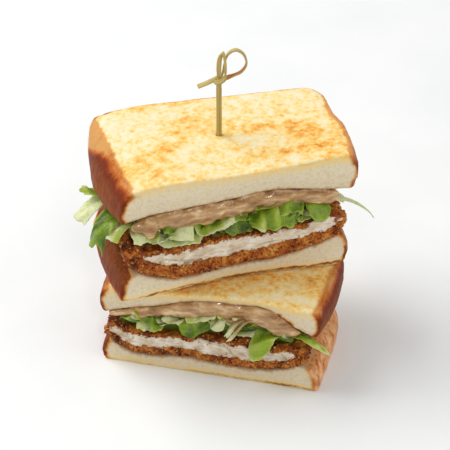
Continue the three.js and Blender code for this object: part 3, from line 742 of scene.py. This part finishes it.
LOWER_LEAVES = [
    ((-30, -25, 30), -85, 9, 17, (10, -55), {"tone": 0.42, "roll": -20, "crease": 2.6, "round": 0.2,
                                             "slant": 0.2}),
    ((-31, -25.5, 25.5), -92, 7, 10, (0, -45), {"tone": 0.95, "frill": 0.4, "coat": 0.5}),
    ((-5, -25, 32.5), -90, 12, 24, (5, -60), {"tone": 0.52, "roll": 15, "shade_along": 0.5, "crease": 2.8,
                                              "slant": -0.3, "round": 0.35, "taper": 0.5, "ripple": 1.2}),
    ((-4, -26, 35.5), -95, 7, 17, (10, -45), {"tone": 0.95, "roll": 12, "frill": 0.5, "slant": -0.2,
                                              "coat": 0.5}),
    ((5, -25.2, 35), -98, 10, 8, (8, -60), {"tone": 0.9, "coat": 0.4, "torn": 0.7}),
    ((17, -26, 36.4), -122, 15, 4.5, (14, -60), {"tone": 1.0, "coat": 0.7, "rib": 0.5, "smear": 0.9}),
    ((23, -26.4, 36.6), -134, 19, 4, (16, -56), {"tone": 0.95, "coat": 0.8, "rib": 0.4, "smear": 1.1}),
    ((30, -25, 30.5), -122, 19, 12, (-5, -75), {"tone": 0.55, "ripple": 0.6, "frill": 0.4, "torn": 0.5,
                                                "round": 0.4, "shade_along": -0.3}),
    ((31, -24.5, 29.5), -14, 30, 6, (16, -38), {"tone": 0.4, "ripple": 0.6, "shade_along": -0.8, "taper": 0.7}),
    ((-8, 18, 28), 88, 15, 15, (0, -45), {"tone": 0.5}),
]


# How many steps the bend of a leaf is added up in, and how finely the large and the hidden leaves
# are divided along and across.
SPINE_STEPS = 60
FINE_GRID = (26, 21)
COARSE_GRID = (14, 13)


def leaf(root, heading, length, width, pitch, look, seed):
    """One cut piece of leaf as a thin closed shell: it bends along its length, is creased along
    slanting folds, frills at its free edge, and may be stiffened by a pale rib."""
    steps, across = look.get("fine", FINE_GRID)
    ripple = look.get("ripple", 0.8)
    taper = look.get("taper", 0.2)
    a, b = np.meshgrid(np.linspace(0, 1, steps + 1), np.linspace(-1, 1, across), indexing="ij")

    def rough(size, turn, *coordinates):
        """Noise over the leaf's grid at the given coordinates."""
        stacked = np.stack([np.broadcast_to(c, a.shape) for c in coordinates], -1).reshape(-1, 3)
        return lumps(stacked, size, seed + turn).reshape(a.shape)

    torn = look.get("torn", 1.0)
    ragged = rough(2.2, 0, b * width / 2, 0.0, 0.0) + 0.5 * rough(0.9, 1, b * width / 2, 0.0, 0.0)
    ragged = torn * ragged
    slant = look.get("slant", 0.0)
    along = a * (1.0 - look.get("round", 0.06) * b ** 4 + 0.1 * ragged + slant * b)
    edge = torn * (rough(2.5, 2, a * length, b * 2, 0.0) + 0.4 * rough(1.0, 3, a * length, b, 0.0))
    side = b * width * (1.0 - taper * along ** 2) / 2 * (1.0 + 0.13 * edge * a)

    fine = np.linspace(0, 1.25, 5 * SPINE_STEPS // 4 + 1)
    middles = np.radians(mix(pitch[0], pitch[1], (fine[:-1] + fine[1:]) / 2))
    spine_out = np.concatenate([[0], np.cumsum(np.cos(middles))]) * length / SPINE_STEPS
    spine_up = np.concatenate([[0], np.cumsum(np.sin(middles))]) * length / SPINE_STEPS
    out = np.interp(along, fine, spine_out)
    up = np.interp(along, fine, spine_up)
    angle = np.radians(mix(pitch[0], pitch[1], along))

    free = smoothstep(0.15, 1.0, np.maximum(a, np.abs(b) * 0.8 * smoothstep(0.0, 0.4, a)))
    phase = seed * 1.7
    wave = np.arcsin(np.sin(2 * math.pi * side / 7.5 + phase + 1.6 * edge + 2.5 * a)) / (math.pi / 2)
    frill = look.get("frill", 0.8) * free * wave
    creases = np.abs(rough(6.0, 4, out * 0.8 + side * 0.5, side, 0.0))
    crinkle = 0.12 * rough(1.6, 5, out, side, 0.0) - look.get("crease", 2.0) * (creases - 0.4)
    lift = ripple * np.sin(2.6 * b + 4 * along + root[0]) + frill + crinkle * smoothstep(0.0, 0.3, a)
    from_rib = (side - 0.1 * width * edge) / (0.12 * width)
    rib = look.get("rib", 0) * np.exp(-from_rib ** 2) * (1.0 - 0.5 * along)
    thick = 0.26 + 0.5 * rib

    turn = math.radians(heading)
    shells = []
    roll = math.radians(look.get("roll", 0))
    level = side * math.cos(roll)
    for sign in (0.5, -0.5):
        rise = lift + sign * thick
        beyond = out - rise * np.sin(angle)
        shells.append(np.stack([root[0] + math.cos(turn) * beyond - math.sin(turn) * level,
                                root[1] + math.sin(turn) * beyond + math.cos(turn) * level,
                                root[2] + up + side * math.sin(roll) + rise * np.cos(angle)], -1))
    points = np.concatenate([shells[0], shells[1][:, ::-1]], axis=1)

    def both(values):
        """The same values on the upper and the lower skin."""
        twice = np.concatenate([values, values[:, ::-1]], axis=1)
        return twice.reshape(points.shape[0] * 2 * across, -1)

    # How near each point is to the leaf's free edge, where a painted highlight lightens it.
    edge_highlight = smoothstep(0.86, 1.0, np.maximum(a, np.abs(b) * smoothstep(0.0, 0.4, a)))
    # Tone shifts along the leaf as its look says. Where that number is negative the root is darkened as
    # painted shade under the sauce and the tip lightened as a painted highlight; where it is positive the
    # tip is darker.
    tone = look.get("tone", 0.5) + 0.12 * edge - look.get("shade_along", 0.0) * (a - 0.4)
    # Raised folds are lightened and valleys and creases darkened, as painted highlight and shade, and the
    # free edge is lightened as a painted highlight.
    tone = tone + 0.09 * lift - 0.2 * (creases - 0.3) + 0.22 * edge_highlight
    smear = look.get("smear", 0.6)
    coat = look.get("coat", 0.0) * (1.0 - smoothstep(smear - 0.35, smear, a + 0.25 * ragged))
    masks = {"tone": both(np.clip(tone, 0, 1)), "rib": both(np.clip(rib, 0, 1)), "coat": both(coat),
             "blade": both(np.stack([a * length, side, np.full(a.shape, 9.0 * seed)], -1))}
    return points.reshape(-1, 3), tube_faces(steps + 1, 2 * across), masks


def small_leaves(solids, span, seed):
    """Torn bits of leaf that fill the gaps between the large ones along the cut, and peep out of the
    heap at its ends and behind."""
    rng = np.random.default_rng(seed)
    left, right, back = span
    places = [(x, CUT_Y + 4.5, -90, FINE_GRID) for x in np.arange(-43.0, 41.0, 4.2)]
    places += [(x, back - 1.5, 90, COARSE_GRID) for x in np.arange(left + 3.0, right, 4.0)]
    places += [(left + 1.0, y, 180, COARSE_GRID) for y in np.arange(-18.0, back, 4.5)]
    places += [(right - 1.0, y, 0, COARSE_GRID) for y in np.arange(-18.0, back, 4.5)]
    parts = []
    for x, y, heading, fine in places:
        x = x + rng.uniform(-1.5, 1.5)
        y = y + rng.uniform(-1.2, 1.2)
        low = nearest_height(solids[0], x, y, True)
        high = nearest_height(solids[1], x, y, False)
        look = {"tone": rng.choice((0.1, 0.3, 0.5, 0.8, 1.0)), "ripple": rng.uniform(0.3, 1.0),
                "frill": rng.uniform(0.3, 0.9), "rib": int(rng.random() < 0.2),
                "coat": 0.7 * rng.integers(0, 2), "slant": rng.uniform(-0.2, 0.2),
                "round": rng.uniform(0.0, 0.12),
                "taper": rng.uniform(0.0, 0.5), "fine": fine}
        parts.append(leaf((x, y, mix(low, high, rng.uniform(0.3, 1.1))), heading + rng.uniform(-30, 30),
                          rng.uniform(3.5, 6.5), rng.uniform(6.0, 13.0),
                          (rng.uniform(-10, 35), rng.uniform(-60, 0)), look, int(rng.integers(1000))))
    return parts


def lettuce(half, leaves, span, look):
    """The heap: leaves and torn bits at the edges over a dark core that fills the inside: inner leaves,
    darkened as painted shade deep in the heap.
    """
    node = half["name"] + "_lettuce"
    solids = [probe(half["name"] + "_" + layer, half) for layer in ("cutlet", "sauce")]
    seed = 40 + int(half["at"][2])
    left, right, back = span
    stations, side = 60, 12
    y = np.concatenate([np.linspace(CUT_Y + 3.5, back, side), np.linspace(back, CUT_Y + 3.5, side)])
    rings = []
    for x in np.linspace(left, right, stations):
        ring = []
        for i, depth in enumerate(y):
            low = nearest_height(solids[0], x, depth, True)
            high = nearest_height(solids[1], x, depth, False)
            ring.append((x, depth, high - 0.3 if i < side else low + 0.3))
        rings.append(ring)
    core = np.array(rings).reshape(-1, 3)
    core[:, 1] += 1.2 * lumps(core, 4.0, seed)
    # Inner leaves, dark green with painted shade deep in the heap.
    tone = np.full((len(core), 1), 0.12)
    layered = core * (0.5, 0.5, 4.0)
    heap = (core, tube_faces(stations, 2 * side),
            {"tone": tone, "rib": tone * 0, "coat": tone * 0, "blade": layered})
    parts = [leaf(*one, seed=11 * i + seed) for i, one in enumerate(leaves)]
    parts += small_leaves(solids, span, seed)
    for name, some in (("_shaded_core", [heap]), ("_leaves", parts)):
        points, faces, masks = joined(some)
        points = from_half(points, half)
        place_piece(node + name, node, new_mesh(node + name, points, faces), masks, look)


# ---------------------------------------------------------------- sauce

# How far the sauce hangs below its layer at the cut, at even steps along it, the drip at the left of
# the upper half, as the middles and radii of the blobs that it is melted from, and how far the sauce
# reaches to each side of the middle.
HANG = {"lower": (0.6, 1.2, 0.4, 1.6, 3.6, 3.4, 1.4), "upper": (1.2, 1.4, 1.8, 1.2, 0.8, 0.8, 1.2)}
DRIPS = {"lower": [], "upper": [((-41, -30.6, 42), (3.4, 2.0, 4.8)),
                                ((-41.5, -31.2, 38.8), (2.4, 1.6, 3.0))]}
SAUCE_REACH = 46.0


def sauce(half, look):
    """Thick sauce squeezed out at the cut in soft folds: it clings to the bread above it and sags
    over the leaves below."""
    node = half["name"] + "_sauce"
    solid = probe(node, half)
    blobs = list(DRIPS[half["name"]])
    for x in np.arange(-SAUCE_REACH, SAUCE_REACH + 1.0, 2.0):
        low = height(solid, x, CUT_Y + 2.5, False)
        high = height(solid, x, CUT_Y + 2.5, True)
        if low is not None:
            low = low - profile(HANG[half["name"]], np.array([x / (2 * SAUCE_REACH) + 0.5]))[0]
            blobs.append(((x, CUT_Y + 0.8, (low + high - 0.4) / 2), (4.2, 1.5, (high - 0.4 - low) / 2)))
    middles = from_half([middle for middle, _ in blobs], half)
    blobs = [(middle, radii) for middle, (_, radii) in zip(middles, blobs)]
    mesh = fine_copy(node + "_folds", node, SAUCE_VOXEL, 10, blobs)
    points = vertices_of(mesh)
    normals = normals_of(mesh)
    local = to_half(points, half)
    seed = 60 + int(half["at"][2])
    slanted = (local @ ASKEW) * (0.4, 1.0, 1.0)
    folds = 1.0 - 2.0 * np.abs(lumps(slanted, 3.4, seed + 3))
    askew = points @ ASKEW
    move = 0.6 * lumps(points, 7.0, seed) + 0.3 * lumps(askew, 2.8, seed + 1) + 0.6 * folds
    move += 0.1 * lumps(askew, 1.4, seed + 4)
    points = points + normals * move[:, None]
    front = smoothstep(CUT_Y + 6.0, CUT_Y + 1.0, local[:, 1])
    points[:, 2] += 0.8 * smoothstep(0.3, 0.9, normals[:, 2])
    sag = np.maximum(lumps(local * (1.0, 0.3, 0.0), 6.0, seed + 2) + 0.3, 0.0)
    sag += 0.5 * np.maximum(lumps(local * (1.0, 0.3, 0.0), 2.2, seed + 5), 0.0)
    points[:, 2] -= 1.5 * front * sag * smoothstep(0.5, -0.5, normals[:, 2])
    set_vertices(mesh, points)
    place_piece(node + "_folds", node, mesh, {}, look)


# ---------------------------------------------------------------- pick

# The strip above the neck, as in the part, and beside each point the way its wide side runs: it
# stands facing the cut, folds over, goes once round the neck, out into the loop and back.
KNOT = [
    ((0, 0, -3), (1, 0, 0)), ((0.2, 0.2, 1), (1, 0, 0)), ((0, 0.4, 6), (1, 0.1, 0)),
    ((0.4, 0.6, 11), (1, 0.4, 0)), ((1.7, 0.4, 14.2), (0.4, 1, 0)), ((2.6, -0.5, 11.5), (0.2, 1, 0)),
    ((3, -0.9, 6), (0.3, 1, 0)), ((2.4, -1.6, 1.6), (0, 0.6, 1)), ((-0.4, -2, -0.2), (0, 0.3, 1)),
    ((-2, -0.2, -0.6), (0, 0, 1)), ((-0.6, 1.8, -0.4), (0, 0.2, 1)), ((2.4, 1.2, 0), (0, 0.8, 1)),
    ((6.6, 0.2, 2.2), (0, 1, 0)), ((10.4, 0, 4.4), (0, 1, 0)), ((12.6, 0, 8.6), (0, 1, 0)),
    ((11.2, 0.4, 13.4), (0, 1, 0)), ((7.6, 1.2, 15.2), (0, 1, 0)), ((4, 2, 12.2), (0, 1, 0)),
    ((2.6, 2.6, 6.5), (0.2, 1, 0)), ((1.6, 2.8, 1), (0.3, 1, 0.3)), ((-1.4, 2.4, -0.8), (0.2, 1, 0.5)),
    ((-5.4, 0.8, -1.9), (0.1, 1, 0.6)), ((-9.8, -0.4, -3), (0.1, 1, 0.6)),
]
STRIP_RING = 16


def swept(route, wide_ways, wide, thick):
    """A strip of rounded-rectangle section swept along a route, with its grain's own coordinates."""
    turn = 2 * math.pi * (np.arange(STRIP_RING) + 0.5) / STRIP_RING
    across = np.sign(np.cos(turn)) * np.abs(np.cos(turn)) ** 0.55
    through = np.sign(np.sin(turn)) * np.abs(np.sin(turn)) ** 0.55
    tangents = np.gradient(route, axis=0)
    tangents /= np.linalg.norm(tangents, axis=1)[:, None]
    ways = wide_ways - tangents * np.sum(wide_ways * tangents, axis=1)[:, None]
    ways /= np.linalg.norm(ways, axis=1)[:, None]
    normals = np.cross(tangents, ways)
    length = np.concatenate([[0], np.cumsum(np.linalg.norm(np.diff(route, axis=0), axis=1))])
    points = (route[:, None] + ways[:, None] * (across * wide / 2)[None, :, None]
              + normals[:, None] * (through[None, :] * thick[:, None] / 2)[..., None])
    grain = np.stack([np.broadcast_to(across * wide * 1.3, points.shape[:2]),
                      np.broadcast_to(through * 1.3, points.shape[:2]),
                      np.broadcast_to(length[:, None] * 0.06, points.shape[:2])], -1)
    return points.reshape(-1, 3), tube_faces(len(route), STRIP_RING), grain.reshape(-1, 3)


def knotted_pick(look):
    """A bamboo pick: a squared shaft to a point, and above its neck the strip tied in a loop."""
    tip, neck = PICK_TIP_Z, PICK_NECK_Z
    heights = np.array([tip, tip + 0.6, tip + 3.5, tip + 7.0, *np.linspace(tip + 10, neck - 5, 40),
                        neck - 2, neck + 1])
    size = np.interp(heights, [tip, tip + 7, neck - 5, neck + 1], [0.2, 1, 1, 0.85])
    shaft = np.stack([heights * 0, heights * 0, heights], -1)
    sideways = np.tile((1.0, 0.0, 0.0), (len(heights), 1))
    points, faces, grain = swept(shaft, sideways, 2 * PICK_RADIUS, np.full(len(heights), 2.2))
    middle = np.repeat(shaft, STRIP_RING, axis=0)
    points = middle + (points - middle) * np.repeat(size, STRIP_RING)[:, None]
    route = np.array([p for p, _ in KNOT], float)
    ways = np.array([w for _, w in KNOT], float)
    share = np.linspace(0, 1, 331)
    curve = np.stack([profile(route[:, k], share) for k in range(3)], -1) + (0, 0, PICK_NECK_Z)
    wide_ways = np.stack([profile(ways[:, k], share) for k in range(3)], -1)
    knot_points, knot_faces, knot_grain = swept(curve, wide_ways, 2.3, np.full(len(curve), 1.0))
    in_loop = np.repeat(smoothstep(0.49, 0.53, share) * smoothstep(0.88, 0.82, share), STRIP_RING)
    inside = in_loop * smoothstep(0.3, 0.9, knot_grain[:, 1] / 1.3)
    inner = np.concatenate([np.zeros(len(points)), inside])
    # One dark fibre down the front of the shaft.
    line = np.zeros(len(inner))
    line[12:len(points):STRIP_RING] = 0.6
    faces = faces + [tuple(i + len(points) for i in face) for face in knot_faces]
    points = np.concatenate([points, knot_points]) + (*PICK_AT, 0)
    masks = {"inner": inner, "line": line, "grain": np.concatenate([grain, knot_grain])}
    mesh = new_mesh("bamboo_pick", points, faces)
    place_piece("bamboo_pick", "knot_pick", mesh, masks, look)


# ---------------------------------------------------------------- camera, light and floor

CAMERA_AT = (-47.3, -853.4, 698.5)
CAMERA_LOOKS_AT = (0.0, 0.0, 68.0)
CAMERA_LENS = 180.0


def camera():
    """A long lens at the photograph's viewing angle."""
    data = bpy.data.cameras.new("camera")
    data.sensor_width = 36.0
    data.lens = CAMERA_LENS
    holder = bpy.data.objects.new("camera", data)
    holder.location = Vector(CAMERA_AT) * MM
    direction = Vector(CAMERA_LOOKS_AT) - Vector(CAMERA_AT)
    holder.rotation_euler = direction.to_track_quat("-Z", "Y").to_euler()
    bpy.context.scene.collection.objects.link(holder)
    bpy.context.scene.camera = holder


def softbox(name, at, looks_at, size, power):
    """A round area light, its place and width in metres and its power in watts."""
    data = bpy.data.lights.new(name, "AREA")
    data.shape = "DISK"
    data.size = size
    data.energy = power
    lamp = bpy.data.objects.new(name, data)
    lamp.location = at
    lamp.rotation_euler = (Vector(looks_at) - Vector(at)).to_track_quat("-Z", "Y").to_euler()
    bpy.context.scene.collection.objects.link(lamp)


def studio():
    """Soft even light: a high key behind the left, a weak fill and a small lamp for the glints."""
    world = bpy.data.worlds.new("studio")
    world.use_nodes = True
    background = world.node_tree.nodes["Background"]
    background.inputs["Color"].default_value = (1.0, 1.0, 1.0, 1.0)
    background.inputs["Strength"].default_value = 0.52
    bpy.context.scene.world = world
    bpy.context.scene.view_settings.view_transform = "Standard"
    middle = (0.0, 0.0, 0.06)
    softbox("key", (-0.7, 0.35, 1.1), middle, 1.0, 12.3)
    softbox("fill", (0.9, -0.5, 0.9), middle, 0.9, 2.4)
    softbox("spark", (0.1, -0.95, 0.8), middle, 0.14, 1.6)


def floor():
    """A wide plain tabletop just under the part."""
    half = 3000.0
    corners = [(-half, -half, 0), (half, -half, 0), (half, half, 0), (-half, half, 0)]
    top = new_object("table_top", new_mesh("table_top", corners, [(0, 1, 2, 3)]), pale_table())
    top.location.z = -0.05 * MM


camera()
studio()
floor()

bread_look = griddled_bread()
bread("lower_bottom_slice", LOWER, False, [], pale=0.85, seared=0.9, look=bread_look)
bread("lower_top_slice", LOWER, True, LOWER_PATCHES, pale=0.0, seared=0.65, look=bread_look)
bread("upper_bottom_slice", UPPER, False, [], pale=0.3, seared=1.35, look=bread_look)
bread("upper_top_slice", UPPER, True, UPPER_PATCHES, pale=0.4, seared=0.65, look=bread_look,
      scorches=UPPER_SCORCHES)

coat_look = crumb_coat()
meat_look = chicken()
cutlet(LOWER, coat_look, meat_look)
cutlet(UPPER, coat_look, meat_look)

# The span of each heap: its left, right and back ends.
leaf_look = lettuce_leaf()
lettuce(LOWER, LOWER_LEAVES, (-45.0, 40.0, 20.0), leaf_look)
lettuce(UPPER, UPPER_LEAVES, (-47.0, 46.0, 21.0), leaf_look)

sauce_look = brown_sauce()
sauce(LOWER, sauce_look)
sauce(UPPER, sauce_look)

knotted_pick(split_bamboo())
